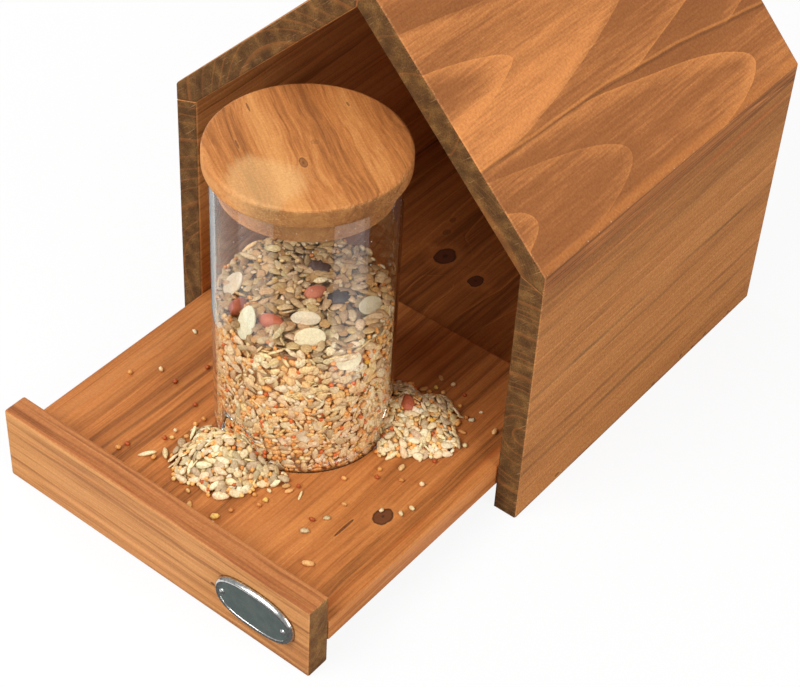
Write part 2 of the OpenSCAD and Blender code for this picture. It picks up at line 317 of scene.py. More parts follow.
def roof_years(ridge_mm):
    """Two sets of nested arches side by side, for a face that slopes down from the ridge at 45 degrees. The lower
    arches are parabolas, the upper ones blunt wedges. Also gives the seam between the two, and a lift that makes the
    upper set brighter up to its second arch."""
    def years(p):
        half = math.sqrt(0.5)
        sway = (p.stretch(0.02, 0.012, 1.0) - 0.5) * 5 + (p.stretch(0.2, 0.06, 1.0) - 0.5) * 1.0
        down = (p.x - p.z + ridge_mm) * half + sway
        under = (ridge_mm - p.x - p.z) * half
        across = down - p.y * 0.03 - LOWER_ARCHES_AT
        slant = across / 3.6
        reach = (p.y - under * 15 + across * slant * 0.5 + 223.7).maths("MAXIMUM", 8.0)
        lower_years = reach.maths("LOGARITHM", math.e) / ARCH_STEP - 11.5136
        lower_pace = (slant * slant + 1).maths("SQRT") / (reach * ARCH_STEP)
        side = (down - UPPER_ARCHES_AT).maths("ABSOLUTE")
        deep = (p.y * 0.2 + 30 - under).maths("ABSOLUTE")
        radius = side.maths("POWER", WEDGE_BLUNT) + deep.maths("POWER", WEDGE_BLUNT)
        radius = radius.maths("POWER", 1 / WEDGE_BLUNT)
        upper_pace = (side + deep * 0.04).maths("SQRT") / (radius.maths("SQRT") * WEDGE_MM)
        upper_years = radius / WEDGE_MM - 0.176
        seam = down - SEAM_AT - (p.y + 100) * (p.y + 100) * 0.0004
        low_side = seam.maths("GREATER_THAN", 0.0)
        pick = lambda first, second: first + low_side * (second - first)
        lift = radius.above(36.6, 33.0) * radius.above(10.0, 21.0) * (1 - low_side)
        return pick(upper_years, lower_years), pick(upper_pace, lower_pace), seam, lift
    return years


print("years along the lower arches, 10 to 200 mm from their start:", round(math.log(200 / 10) / ARCH_STEP, 1))

# %% [markdown]
# ## Colour of the boards
# Stain sinks into soft wood and leaves hard wood bright. The colour comes from a ramp of three tones, dark, middle and
# light. Long streaks of several widths move each point up and down that ramp, the glow before a year's line lifts it,
# and the line itself is laid on top. Knots, dark stripes and the dark ends come last, as a painter would add them.

# %% Knots, ends and eaves
# PALE_SCRATCH_AND_HIGHLIGHT is the pale of the saw's scratches on the ends, and also of the painted highlight along the
# board edges
DEEP, GLOW, PALE_SCRATCH_AND_HIGHLIGHT = tone(98, 58, 32), tone(226, 146, 76), tone(206, 160, 108)
END_TONES = [(0.2, tone(70, 45, 22)), (0.5, tone(98, 66, 33)), (0.8, tone(134, 96, 50))]
END_RING, PALE_PATCH = tone(196, 116, 54), tone(226, 176, 116)
KNOT_HEART, KNOT_BODY = tone(52, 30, 20), tone(92, 50, 30)
COMB_LINE, EDGE_CHIP = tone(74, 46, 24), tone(228, 196, 164)
OUTSIDE_STAIN = (0.72, 0.63, 0.50, 1)


def most(sofar, more):
    return more if sofar is None else sofar.maths("MAXIMUM", more)


def knot_marks(p, knots):
    """Each knot is (place, radius, stretch along the grain, strength). Gives the swerves of the years round the knots,
    and how much of a brown body, a dark heart and a pale halo shows."""
    swerves, body, heart, halo = [], None, None, None
    for place, size, stretch, strength in knots:
        ragged = (p.stretch(0.35, 0.2, 1.0) - 0.5) * 0.5
        reach = p.apart(place, (1 / size, 1 / (size * stretch), 1 / size)) + ragged
        swerves.append(reach.above(3.2, 0.9) * (0.12 * size * strength))
        brown = reach.above(1.06, 0.9) * strength
        dark = (reach.above(0.3, 0.1) + reach.above(0.72, 0.96)).maths("MINIMUM", 1.0)
        body, heart = most(body, brown), most(heart, dark * brown)
        halo = most(halo, reach.above(2.2, 1.0) * (0.5 * strength))
    return swerves, body, heart, halo


def end_grain(p, before, luck, grit, rings):
    """The colour of a board's ends, which drank the most stain, with rings and pale scratches of the saw."""
    saw = p.noise(p.join((p.x + p.z) * 0.06, p.y * 0.1, (p.x - p.z) * 1.1))
    level = 0.5 + (p.stretch(0.16, 0.02, 1.0) - 0.5) * 0.9 + (grit - 0.5) * 0.9
    end = p.node("ValToRGB", {"stops": END_TONES}, {"Fac": level})
    end = p.mix(before.above(1.6, 0.2) * (luck * 0.6 + 0.4) * rings, end, END_RING)
    return p.mix(saw.above(0.62, 0.74) * 0.4, end, PALE_SCRATCH_AND_HIGHLIGHT)


def combed_eave(p, colour, strength):
    """The upright cut along an eave: dark lines that the planer left, and pale chips on the edge above them."""
    plumb = p.split(p.facing)[0].maths("ABSOLUTE")
    comb = p.stretch(1.25, 0.004, 1.0).above(0.44, 0.58)
    colour = p.mix(plumb.above(0.9, 0.98) * comb * strength, colour, COMB_LINE)
    chips = p.noise(p.join(p.y * 0.16, p.y * 0.9, p.z * 0.5), detail=1.0).above(0.68, 0.74)
    return p.mix(plumb.above(0.74, 0.8) * plumb.above(0.93, 0.86) * chips * 0.8, colour, EDGE_CHIP)


print("an end's tones, from dark to light:", [tuple(round(v, 3) for v in hue[:3]) for _, hue in END_TONES])

# %% Stain
BUMP_SHARE, BUMP_DEPTH = 0.22, 0.0004
WOOD_ROUGH, WOOD_IOR, WOOD_SHINE = 0.60, 1.45, 0.22


def stained_wood(name, tones, years, turn=0.0, line=0.4, line_tone=GLOW, line_mm=1.2, glow=0.25, glow_mm=3.0,
                 shadow=0.15, streaks=1.0, broad=1.0, sand=0.2, end_share=1.0, end_rings=0.25, knots=(), bands=(),
                 pale=None, painted_top_shade=0.0, combed=0.0, wave=2.0, felt=0.3, outside=None):
    """Wood whose grain runs along Y, or along Y turned by an angle. All lengths are in millimetres.
    tones: dark, middle and light. bands: stripes along the grain (axis, middle, half width, tone, strength).
    pale: (place, radius). painted_top_shade: how much darker the top face is painted, a painted shade. outside: the way
    that the stained face looks; the inside of the house is paler, partly a painted light on its shaded boards. The
    other numbers say how strongly a mark shows."""
    p = Plank(name, turn, wave)
    age, pace, seam, lift = years(p)
    swerves, knot_body, knot_heart, halo = knot_marks(p, knots)
    for swerve in swerves:
        age = age + swerve
    season = age.maths("FRACT")
    luck = p.node("TexWhiteNoise", {"noise_dimensions": "1D"}, {"W": age.maths("FLOOR")})
    before, after = (1 - season) / pace, season / pace
    year_line = before.above(line_mm, line_mm * 0.2)

    # streaks of several widths, and the glow and shadow on the two sides of a year's line
    soft, wide = p.stretch(0.035, 0.0035, 1.0), p.stretch(0.13, 0.0045, 1.0)
    mid, fine = p.stretch(0.5, 0.008, 2.0), p.stretch(1.7, 0.02, 2.0, 0.6)
    vigour = luck * 0.7 + 0.4
    level = (0.5 + (soft - 0.5) * (1.1 * broad) + (wide - 0.5) * (0.8 * streaks) + (mid - 0.5) * (0.9 * streaks)
             + (fine - 0.5) * (0.6 * streaks) + before.above(glow_mm, 0.0) * vigour * glow
             - after.above(glow_mm, 0.0) * vigour * shadow + (p.stretch(1.1, 0.07, 2.0) - 0.5) * felt)
    if lift:
        level = level + lift * 0.26
    dark, middle, light = tones
    side = p.node("ValToRGB", {"stops": [(0.12, dark), (0.5, middle), (0.9, light)]}, {"Fac": level})
    side = p.mix(year_line * (luck * 0.7 + 0.3) * line, side, line_tone)

    # stripes, seam, pale patch and knots
    sway = (p.noise(p.join(p.y * 0.011, 0.0, 0.0), detail=1.0) - 0.5) * 5
    patch = p.stretch(0.06, 0.018, 1.0).above(0.3, 0.6)
    for axis, place, half, hue, strength in bands:
        gap = ((p.x if axis == "x" else p.z) + sway - place).maths("ABSOLUTE") + (mid - 0.5) * half
        side = p.mix(gap.above(half, half * 0.15) * patch * strength, side, hue)
    if seam:
        side = p.mix((seam + 0.2).maths("ABSOLUTE").above(1.4, 0.2) * 0.5, side, DEEP)
        side = p.mix((seam + 1.4).maths("ABSOLUTE").above(1.0, 0.2) * 0.35, side, GLOW)
    if pale:
        place, size = pale
        ragged = p.apart(place) + (mid - 0.5) * (size * 0.5) + (soft - 0.5) * size
        side = p.mix(ragged.above(size * 1.1, size * 0.7) * 0.52, side, PALE_PATCH)
    if halo:
        side = p.mix(halo, side, light)
        side = p.mix(knot_body, side, KNOT_BODY)
        side = p.mix(knot_heart * 0.8, side, KNOT_HEART)

    # more stain outside, where the inside keeps paler tones, partly a painted light; sanding dust; and a painted shade
    # on the top
    if outside:
        faces_out = p.node("VectorMath", {"operation": "DOT_PRODUCT"},
                           {0: p.facing, 1: p.spin @ Vector(outside)}, out=1)
        side = p.mix(faces_out.above(0.5, 0.8), side, p.mix(1.0, side, OUTSIDE_STAIN, "MULTIPLY"))
    speck = p.noise(p.at, 0.9, 2.0, 0.7)
    dust = 1 + (speck - 0.5) * (2 * sand)
    _, face_y, face_z = p.split(p.facing)
    # painted shade: the top face is darkened
    if painted_top_shade:
        dust = dust - face_z.above(0.6, 0.95) * painted_top_shade
    side = p.mix(1.0, side, p.join(dust, dust * (0.15 + dust * 0.85), dust * dust), "MULTIPLY")

    # the ends, and a pale, patchy line on the rounded edges between them and the faces: a painted highlight, broken in
    # patches like wear
    square = face_y.maths("ABSOLUTE")
    grit = p.stretch(1.3, 0.2, 3.0, 0.65)
    is_end = square.above(0.5, 0.86) * end_share
    edge_highlight = square.above(0.1, 0.35) * square.above(0.95, 0.8) * grit.above(0.5, 0.66)
    colour = p.mix(edge_highlight * 0.4, p.mix(is_end, side, end_grain(p, before, luck, grit, end_rings)), PALE_SCRATCH_AND_HIGHLIGHT)
    if combed:
        colour = combed_eave(p, colour, combed)

    height = year_line * 0.3 + fine * 0.8 + speck * 0.4 - is_end * grit
    bump = p.node("Bump", {}, {"Strength": BUMP_SHARE, "Distance": BUMP_DEPTH, "Height": height})
    return p.finish(p.node("BsdfPrincipled", {}, {
        "Base Color": colour, "Roughness": WOOD_ROUGH - year_line * 0.06 + is_end * 0.2, "Normal": bump,
        "IOR": WOOD_IOR, "Specular IOR Level": WOOD_SHINE}))


def dress(node, material):
    """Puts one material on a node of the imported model."""
    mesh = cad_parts[node].data
    mesh.materials.clear()
    mesh.materials.append(material)


print("stain: roughness", WOOD_ROUGH, "and bumps", round(BUMP_DEPTH / MM, 2), "mm deep")

# %% [markdown]
# ## Each board from its own log
# Two boards of one log look like twins, so every board gets its own pith and its own ring width. The right-hand roof
# board is glued from two planks, cut almost flat over slanting piths, which draws two sets of nested arches. The other
# boards are nearer to straight, with a few strong stripes, given where the real feeder shows them.

# %% Boards of the house
LID_GRAIN, CROSSWISE = math.radians(-32.5 - 90), math.radians(90)
silo_low, silo_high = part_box("glass_silo")
silo_y_mm = (silo_low.y + silo_high.y) / 2 / MM
lid_top_mm, tray_top_mm, floor_top_mm, ridge_mm = (
    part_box(node)[1].z / MM for node in ("lid_disc", "tray_board", "floor_board", "right_roof"))

ROOF_TONES = tone(134, 80, 41), tone(158, 97, 52), tone(216, 140, 78)
WALL_TONES = tone(138, 88, 46), tone(172, 110, 56), tone(190, 126, 68)
# the inside boards are paler, partly a painted light that lifts boards lying in the shade of the house
LIT_INNER_TONES = tone(154, 102, 57), tone(204, 141, 83), tone(220, 158, 96)
BROWN, RUST, SMOKE, STRAW = tone(112, 64, 32), tone(176, 92, 40), tone(96, 68, 42), tone(214, 144, 84)
WALL_PIN_KNOTS = [(-68, 3.5), (12, 2.5), (36, 4.0), (47, 2.0), (58, 3.0), (80, 2.5)]
WALL_X = 100.0

dress("right_roof", stained_wood(
    "right_roof_wood", ROOF_TONES, roof_years(ridge_mm), line=0.26, glow=0.2, glow_mm=11.0, shadow=0.05, streaks=0.3,
    broad=0.9, sand=0.28, felt=0.4, combed=0.5, wave=0.0,
    bands=[("x", 98.5, 3.0, tone(204, 128, 66), 0.55)]))
dress("left_roof", stained_wood(
    "left_roof_wood", LIT_INNER_TONES, round_years((-13.5, 145.5), (0.02, -0.02), 6.0, 0.2), glow_mm=4.0, streaks=0.7,
    combed=0.5, outside=(-0.7, 0, 0.7)))
dress("right_wall", stained_wood(
    "right_wall_wood", WALL_TONES, round_years((98.5, 52.0), (0.0, 0.012), 4.5, 0.1, wander=1.0, uneven=2.6),
    line=0.14, glow=0.08, glow_mm=2.0, shadow=0.08, streaks=0.4, sand=0.44, end_rings=0.22, felt=0.6,
    knots=[((WALL_X, y, z), 0.9, 1.6, 0.6) for y, z in WALL_PIN_KNOTS],
    bands=[("z", 73.0, 1.8, SMOKE, 0.6), ("z", 64.0, 1.4, SMOKE, 0.3), ("z", 38.0, 1.8, BROWN, 0.45),
           ("z", 28.0, 2.0, SMOKE, 0.5), ("z", 108.0, 5.0, SMOKE, 0.2), ("z", 126.0, 3.0, RUST, 0.4),
           ("z", 87.0, 0.8, STRAW, 0.5), ("z", 94.0, 0.7, STRAW, 0.4), ("z", 14.0, 0.7, STRAW, 0.4),
           ("z", 1.0, 1.2, BROWN, 0.8)]))
dress("left_wall", stained_wood(
    "left_wall_wood", LIT_INNER_TONES, round_years((-60.0, 40.0), (0.0, 0.03), 6.5, 0.3), streaks=0.8, line=0.3,
    outside=(-1, 0, 0)))
dress("back_wall", stained_wood(
    "back_wall_wood", LIT_INNER_TONES, round_years((110.0, 40.0), (0.02, 0.0), 6.5), turn=CROSSWISE, streaks=0.8, line=0.3,
    outside=(0, 1, 0)))
dress("floor_board", stained_wood(
    "floor_wood", (tone(118, 66, 30), tone(156, 92, 44), tone(178, 108, 54)),
    round_years((-15.0, -45.0), (0.03, 0.02), 6.5, 0.4), line=0.2, streaks=1.2,
    knots=[((-25.2, 11.2, floor_top_mm), 5.4, 1.2, 1.0), ((-2.0, 6.2, floor_top_mm), 3.8, 1.2, 1.0),
           ((-39.6, 36.7, floor_top_mm), 1.6, 1.4, 0.5), ((-36.0, 26.9, floor_top_mm), 1.8, 1.4, 0.5)]))
print("tops in mm: ridge", round(ridge_mm, 1), "floor", round(floor_top_mm, 1), "tray", round(tray_top_mm, 1))

# %% Tray, lid and dowels
dress("tray_board", stained_wood(
    "tray_wood", (tone(130, 78, 38), tone(180, 109, 55), tone(204, 131, 70)),
    round_years((46.0, -60.0), (0.01, 0.015), 4.2, 0.6, wander=3.0, uneven=2.4), line=0.35, line_tone=BROWN,
    line_mm=0.9, glow=0.12, glow_mm=1.6, streaks=1.2, broad=0.8, sand=0.14,
    knots=[((68.0, -155.2, tray_top_mm), 4.2, 1.2, 0.88), ((59.6, -171.0, tray_top_mm), 0.7, 9.0, 0.8)],
    bands=[("x", 82.0, 2.4, RUST, 0.5), ("x", 36.0, 5.0, STRAW, 0.35), ("x", -28.0, 1.2, BROWN, 0.5),
           ("x", -38.5, 1.4, BROWN, 0.75), ("x", -43.5, 1.2, BROWN, 0.6), ("x", -50.0, 1.6, BROWN, 0.6),
           ("x", -57.0, 2.0, BROWN, 0.5), ("x", -68.0, 5.0, BROWN, 0.3), ("x", -79.0, 5.0, STRAW, 0.4)]))
dress("tray_front", stained_wood(
    "front_board_wood", (tone(154, 97, 52), tone(196, 134, 78), tone(214, 154, 94)),
    round_years((-200.0, -30.0), (0.01, 0.03), 6.0, 0.1, wander=4.0, uneven=2.2), turn=CROSSWISE, line=0.3,
    line_tone=tone(150, 92, 48), line_mm=0.8, glow=0.12, glow_mm=2.0, streaks=1.25, broad=0.7, sand=0.16,
    end_share=0.85, end_rings=0.0, painted_top_shade=0.2, knots=[((35.0, -226.6, 18.8), 0.8, 1.6, 0.8)],
    bands=[("z", 37.0, 1.0, BROWN, 0.35), ("z", 31.0, 1.0, RUST, 0.4), ("z", 28.4, 1.2, BROWN, 0.4),
           ("z", 10.0, 4.0, STRAW, 0.4), ("x", -225.4, 0.8, RUST, 0.4), ("x", -222.0, 1.0, BROWN, 0.4),
           ("x", -218.0, 1.0, BROWN, 0.4)]))
lid_wood = stained_wood(
    "lid_wood", (tone(140, 84, 42), tone(186, 117, 61), tone(212, 146, 83)),
    round_years((30.0, 120.0), (0.02, 0.01), 5.6, 0.25, wander=4.0, uneven=2.2), turn=LID_GRAIN, line=0.14,
    line_tone=BROWN, line_mm=0.7, glow=0.12, glow_mm=2.4, streaks=0.8, broad=1.8, end_share=0.6,
    end_rings=0.0, wave=6.0, felt=0.6, pale=((4.0, -158.0, lid_top_mm), 18.0),
    knots=[((6.5, -138.5, lid_top_mm), 1.6, 2.0, 0.55), ((1.1, -125.0, lid_top_mm), 1.6, 1.0, 0.25),
           ((-34.5, -125.3, lid_top_mm), 0.45, 7.0, 0.6), ((-21.0, -147.0, lid_top_mm), 0.45, 7.0, 0.6),
           ((-5.4, -96.4, lid_top_mm), 0.5, 3.0, 0.5)])
dowel_wood = stained_wood("dowel_wood", (tone(176, 128, 78), tone(206, 160, 104), tone(216, 172, 118)),
                          round_years((0.0, -20.0), (0.0, 0.0), 2.0))
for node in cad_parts:
    if node.startswith("lid_"):
        dress(node, lid_wood)
    elif node.endswith("_dowels"):
        dress(node, dowel_wood)
woods = [material.name for material in bpy.data.materials if material.name.endswith("_wood")]
print("woods:", woods)

# %% [markdown]
# ## Glass
# Clear glass bends light and mirrors a little of the studio. Lamps and the light that bounces off the seed should pass
# through it without the noise that bent light brings, so for those rays the glass turns plainly transparent, and so it
# does for rays that have wandered long inside it. A faint tint in its depth greys the edges, where one looks through
# the most glass. Specks of seed dust cling to the upper part.

# %% Clear glass
GLASS_TONE, GLASS_IOR, LONG_PATH = (0.985, 0.985, 0.98, 1), 1.46, 3.5
TINT_TONE, TINT_DENSITY = (0.74, 0.75, 0.72, 1), 60.0
DUST_TONE, DUST_CELLS, DUST_FROM, DUST_FULL = (0.62, 0.58, 0.52, 1), 480.0, 0.108, 0.150
bench = Bench("clear_glass")
shaded, bounced, depth = bench.rays("Is Shadow Ray", "Is Diffuse Ray", "Ray Depth")
passing = shaded.maths("MAXIMUM", bounced).maths("MAXIMUM", depth.maths("GREATER_THAN", LONG_PATH))
clear = bench.node("BsdfPrincipled", {}, {"Base Color": GLASS_TONE, "Roughness": 0.0, "IOR": GLASS_IOR,
                                           "Transmission Weight": 1.0})
open_air = bench.node("BsdfTransparent", inputs={"Color": GLASS_TONE})
spot = bench.here()
cells = bench.node("TexVoronoi", {"feature": "F1"}, {"Vector": spot, "Scale": DUST_CELLS})
lot = bench.split(Socket(bench, cells.link.node.outputs["Color"]))[0]
above_seed = bench.split(spot)[2].above(DUST_FROM, DUST_FULL)
speck = cells.above(0.17, 0.10) * (lot + above_seed * 0.3).above(1.02, 1.04) * 0.7
dust = bench.node("BsdfDiffuse", inputs={"Color": DUST_TONE})
glass = bench.node("MixShader", inputs={0: passing, 1: clear, 2: open_air})
tint = bench.node("VolumeAbsorption", inputs={"Color": TINT_TONE, "Density": TINT_DENSITY})
clear_glass = bench.finish(bench.node("MixShader", inputs={0: speck, 1: glass, 2: dust}), tint)
print("clear glass:", len(bench.tree.nodes), "nodes")

# %% [markdown]
# The real wall is thinner than the solid's, so the silo is turned anew here. Each column of points runs up the outside,
# over the rounded rim and down the inside. In front of an outlet the column starts on the arch and not at the foot; at
# an outlet's side two columns stand on the same line, one at full length, and the cut face closes the step.

# %% A thin-walled silo
WALL, OUTLET_W, OUTLET_H, OUTLET_WAYS = 1.2, 22.0, 18.0, (264, 24, 144)
glass_foot, glass_top = silo_low.z / MM, silo_high.z / MM
glass_r = (silo_high.x - silo_low.x) / 2 / MM
spring = OUTLET_H - OUTLET_W / 2
rim_z = glass_top - glass_foot - WALL / 2
half_turn = math.degrees(math.asin(OUTLET_W / 2 / glass_r))


def glass_column(degrees, arched):
    """The points of one column, outside first. arched gives the angle from the outlet's middle, or None."""
    start = 0.0
    if arched is not None:
        start = spring + math.sqrt(max((OUTLET_W / 2) ** 2 - (glass_r * math.sin(math.radians(arched))) ** 2, 0.0))
    heights = [start, max(start, spring), OUTLET_H + 2, rim_z - 0.2, rim_z]
    bow = [(glass_r - WALL / 2 + WALL / 2 * math.cos(t), rim_z + WALL / 2 * math.sin(t))
           for t in np.linspace(0, np.pi, 7)[1:-1]]
    outline = [(glass_r, z) for z in heights] + bow + [(glass_r - WALL, z) for z in reversed(heights)]
    a = math.radians(degrees)
    return [(r * math.cos(a) * MM, (silo_y_mm + r * math.sin(a)) * MM, (glass_foot + z) * MM) for r, z in outline]


def fit(piece, body, stands_for=None):
    """Says which body a piece rides on, and which node of the model it stands for."""
    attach(piece, body)
    if stands_for:
        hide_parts(stands_for)


columns = []
for way in OUTLET_WAYS:
    columns += [(way + d, d) for d in np.sin(np.linspace(-np.pi / 2, np.pi / 2, 25)) * half_turn]
    columns += [(way + d, None) for d in np.linspace(half_turn, 120 - half_turn, 48)]
points = [point for column in columns for point in glass_column(*column)]
size = len(glass_column(0.0, None))
faces, flat = [], []
for c in range(len(columns)):
    here, there = c * size, (c + 1) % len(columns) * size
    arched = [columns[c][1] is not None, columns[(c + 1) % len(columns)][1] is not None]
    if arched[0] != arched[1]:
        full = there if arched[0] else here
        flat.append((full, full + 1, full + size - 2, full + size - 1))
        continue
    rows = range(1, size - 2) if all(arched) else range(size - 1)
    faces += [(here + j, there + j, there + j + 1, here + j + 1) for j in rows]
    flat.append((there, here, here + size - 1, there + size - 1))
silo_glass = new_object("silo_glass", points, faces + flat, clear_glass)
silo_mesh = silo_glass.data
silo_mesh.polygons.foreach_set("use_smooth", [True] * len(faces) + [False] * len(flat))
soldered = bmesh.new()
soldered.from_mesh(silo_mesh)
bmesh.ops.remove_doubles(soldered, verts=soldered.verts, dist=1e-6)
bmesh.ops.recalc_face_normals(soldered, faces=soldered.faces)
soldered.to_mesh(silo_mesh)
print("glass edges left open:", sum(not edge.is_manifold for edge in soldered.edges))
soldered.free()
fit(silo_glass, "silo", "glass_silo")

# %% [markdown]
# ## Polished metal
# The badge is a pressed oval of bright metal. Its face is flat and mirrors the floor in front of it, which glossy rays
# see grey, a painted shade. A raised, polished rim runs round it and catches the lamps. The solid has no rim, so it is
# made here: a row of ovals, one inside the other, first up and then down to the face. A faint drift of roughness keeps
# it from looking like a drawing.

# %% Badge and pins
OVAL_FULL, OVAL_POINTS = 2.5, 96
# the rim's steps: how far in from the plate's edge, and how far behind the plate's front, in millimetres
RIM_STEPS = [(-0.62, 2.15), (-0.36, 1.2), (-0.03, 0.4), (0.35, -0.14), (0.85, -0.4), (1.3, -0.42), (1.75, -0.22),
             (2.15, 0.05)]


def polished(name, scale, detail, dull, bright, rough, drift):
    """Bright metal, with a faint smear in its colour and roughness."""
    b = Bench(name)
    smear = b.noise(b.here(), scale, detail)
    return b.finish(b.node("BsdfPrincipled", {}, {
        "Base Color": b.mix(smear.above(0.3, 0.7), dull, bright), "Metallic": 1.0, "Roughness": rough + smear * drift}))


def circle(count):
    """Angles that go once round in even steps."""
    return np.arange(count) * 2 * np.pi / count


def ring_faces(rows, around, first=0):
    """Faces between rings of points. rows gives the rings in turn, and first is the number of the first point."""
    at = lambda row, k: first + row * around + k % around
    return [(at(a, k), at(a, k + 1), at(b, k + 1), at(b, k)) for a, b in zip(rows, rows[1:]) for k in range(around)]


dress("badge_plate", polished("badge_metal", 220.0, 3.0, tone(204, 224, 218), tone(224, 240, 232), 0.16, 0.06))
pin_metal = polished("pin_metal", 900.0, 2.0, tone(190, 190, 188), tone(225, 225, 222), 0.12, 0.1)
dress("badge_pins", pin_metal)
plate_low, plate_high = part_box("badge_plate")
plate_x, plate_z = (plate_low.x + plate_high.x) / 2, (plate_low.z + plate_high.z) / 2
half_w, half_h = (plate_high.x - plate_low.x) / 2, (plate_high.z - plate_low.z) / 2
fuller = lambda share: math.copysign(abs(share) ** (2 / OVAL_FULL), share)
points = [(plate_x + (half_w - inset * MM) * fuller(math.cos(a)), plate_low.y + back * MM,
           plate_z + (half_h - inset * MM) * fuller(math.sin(a)))
          for inset, back in RIM_STEPS for a in circle(OVAL_POINTS)]
faces = ring_faces([*range(len(RIM_STEPS)), 0], OVAL_POINTS)
badge_rim = new_object("badge_rim", points, faces, pin_metal, smooth=True)
fit(badge_rim, "tray")
print("badge rim:", len(faces), "faces")

# %% [markdown]
# ## Forms of the grains
# The mix holds hulled sunflower kernels, oats, wheat, peanut halves, small peanuts in their red skins, raisins, flakes,
# bits of maize, broken chips, slivers of husk, and much millet. One grid of points on a globe serves them all: each
# kind moves the globe's points in its own way, which makes it pointed, creased, cut flat, wrinkled or curled.

# %% One globe, eleven kinds of grain
def grain_form(around, along, bend):
    """The points and faces of one grain. bend takes the globe's length, width and thickness, each from -1 to 1."""
    turns = circle(around)
    rows = [np.stack([np.full(around, -np.cos(tilt)), np.sin(tilt) * np.cos(turns), np.sin(tilt) * np.sin(turns)],
                     axis=1) for tilt in np.arange(1, along) * np.pi / along]
    globe = np.concatenate([[[-1, 0, 0]], *rows, [[1, 0, 0]]])
    at = lambda row, k: 1 + row * around + k % around
    faces = [(0, at(0, k + 1), at(0, k)) for k in range(around)]
    faces += ring_faces(range(along - 1), around, 1)
    faces += [(at(along - 2, k), at(along - 2, k + 1), len(globe) - 1) for k in range(around)]
    return np.stack(bend(*globe.T), axis=1) * 0.5, faces


def crease(u, v, w):
    return np.where(w < 0, 0.45 * np.exp(-(v / 0.3) ** 2) * (1 - u * u), 0)


def wrinkle(u, v, w):
    return 1 + 0.13 * np.sin(4 * np.arctan2(w, v) + 5 * u) + 0.10 * np.sin(9 * u + 2 * v)


def split_side(u, v, w):
    """A nut's split side, a little dished, with a groove along it."""
    groove = 0.24 * np.exp(-(v / 0.16) ** 2) * (1 - u * u)
    return np.where(w > 0, 0.3 * v * v + 0.1 * w - groove, w)


# each kind: steps round it and along it, how it bends the globe, its smallest and largest size in millimetres (length,
# width, thickness), and its colours on a screen
KINDS = {
    "kernel": (8, 5, lambda u, v, w: (u, v * (0.94 - 0.34 * u), w * (0.95 - 0.2 * u)),
               (5.4, 3.1, 1.4), (8.6, 4.6, 2.0),
               [(220, 193, 149), (206, 177, 134), (192, 165, 124), (230, 208, 168), (178, 152, 116), (212, 181, 130)]),
    "oat": (8, 5, lambda u, v, w: (u, v * (1 - 0.3 * u * u), (w + crease(u, v, w)) * (1 - 0.2 * u)),
            (6.0, 2.2, 1.8), (9.0, 3.0, 2.4), [(238, 214, 162), (226, 198, 142), (242, 224, 180)]),
    "wheat": (7, 4, lambda u, v, w: (u, v, w + crease(u, v, w)),
              (3.8, 2.0, 1.7), (5.4, 2.7, 2.2), [(232, 176, 108), (220, 156, 88), (238, 190, 126)]),
    "half_nut": (24, 12, lambda u, v, w: (u, v, split_side(u, v, w)),
                 (10.5, 7.0, 3.8), (13.0, 8.4, 4.6), [(242, 228, 194), (236, 220, 182), (246, 236, 206)]),
    "red_nut": (12, 8, lambda u, v, w: (u, v * (1 - 0.16 * u), w * (1 - 0.16 * u)),
                (9.0, 5.8, 5.4), (10.6, 6.8, 6.2), [(186, 96, 62), (196, 114, 82), (172, 84, 58)]),
    "raisin": (14, 10, lambda u, v, w: (u * wrinkle(u, v, w), v * wrinkle(u, v, w), w * wrinkle(u, v, w)),
               (8.5, 6.4, 4.8), (10.0, 7.2, 5.6), [(62, 48, 46), (92, 66, 56)]),
    "flake": (8, 5, lambda u, v, w: (u, v * (1 + 0.16 * np.sin(5 * u)), 0.5 * w + 0.6 * v * v - 0.3),
              (4.6, 3.4, 1.4), (7.4, 5.2, 2.2), [(238, 218, 174), (226, 198, 146), (210, 172, 118)]),
    "maize": (6, 3, lambda u, v, w: (u, v * (1 + 0.3 * u), w * (1 - 0.3 * v)),
              (2.4, 2.0, 1.5), (3.8, 3.0, 2.2), [(240, 182, 62), (244, 204, 108), (244, 222, 164)]),
    "sliver": (5, 5, lambda u, v, w: (u, v, 0.6 * w + 0.5 * u * u - 0.2),
               (5.0, 1.0, 0.8), (8.4, 1.6, 1.2), [(236, 208, 146), (244, 222, 170)]),
    "chip": (5, 3, lambda u, v, w: (u + 0.25 * v, v * (1 + 0.35 * u), w * (1 - 0.3 * u)),
             (1.8, 1.4, 0.9), (3.6, 2.8, 1.6),
             [(244, 226, 190), (230, 200, 150), (212, 172, 118), (222, 176, 112), (240, 222, 186)]),
    "millet": (6, 4, lambda u, v, w: (u, v, w),
               (1.7, 1.6, 1.4), (2.4, 2.1, 1.9),
               [(234, 172, 98), (222, 154, 80), (240, 188, 118), (228, 164, 88), (214, 140, 70), (188, 90, 40),
                (242, 214, 162)]),
}
GRAINS = {kind: (grain_form(around, along, bend), low, high, [tone(*hue) for hue in hues])
          for kind, (around, along, bend, low, high, hues) in KINDS.items()}
NUTS, LONG_GRAINS = ("half_nut", "red_nut", "raisin"), ("kernel", "oat", "flake", "sliver")
SMALL = ("wheat", "maize", "chip", "millet")
print("faces of a grain:", {kind: len(form[1]) for kind, (form, *_) in GRAINS.items()})

# %% [markdown]
# ## Laying the grains
# Grains lie as they fall, pressed against each other. So they are laid one at a time at random places, and a grain that
# would run deep into one already there is thrown away. A long grain is felt at three points along it, and only the
# grains in the same small box of space, or in the boxes next to it, are asked. The large pieces go first and the millet
# last, in the gaps that are left. The random numbers have a fixed start, so every run lays the same grains.

# %% A pile that grows grain by grain
rng = np.random.default_rng(31)
FEEL_BOX_MM = 4.5
BRIGHTEST = 0.93


def unit(v):
    return v / np.linalg.norm(v)


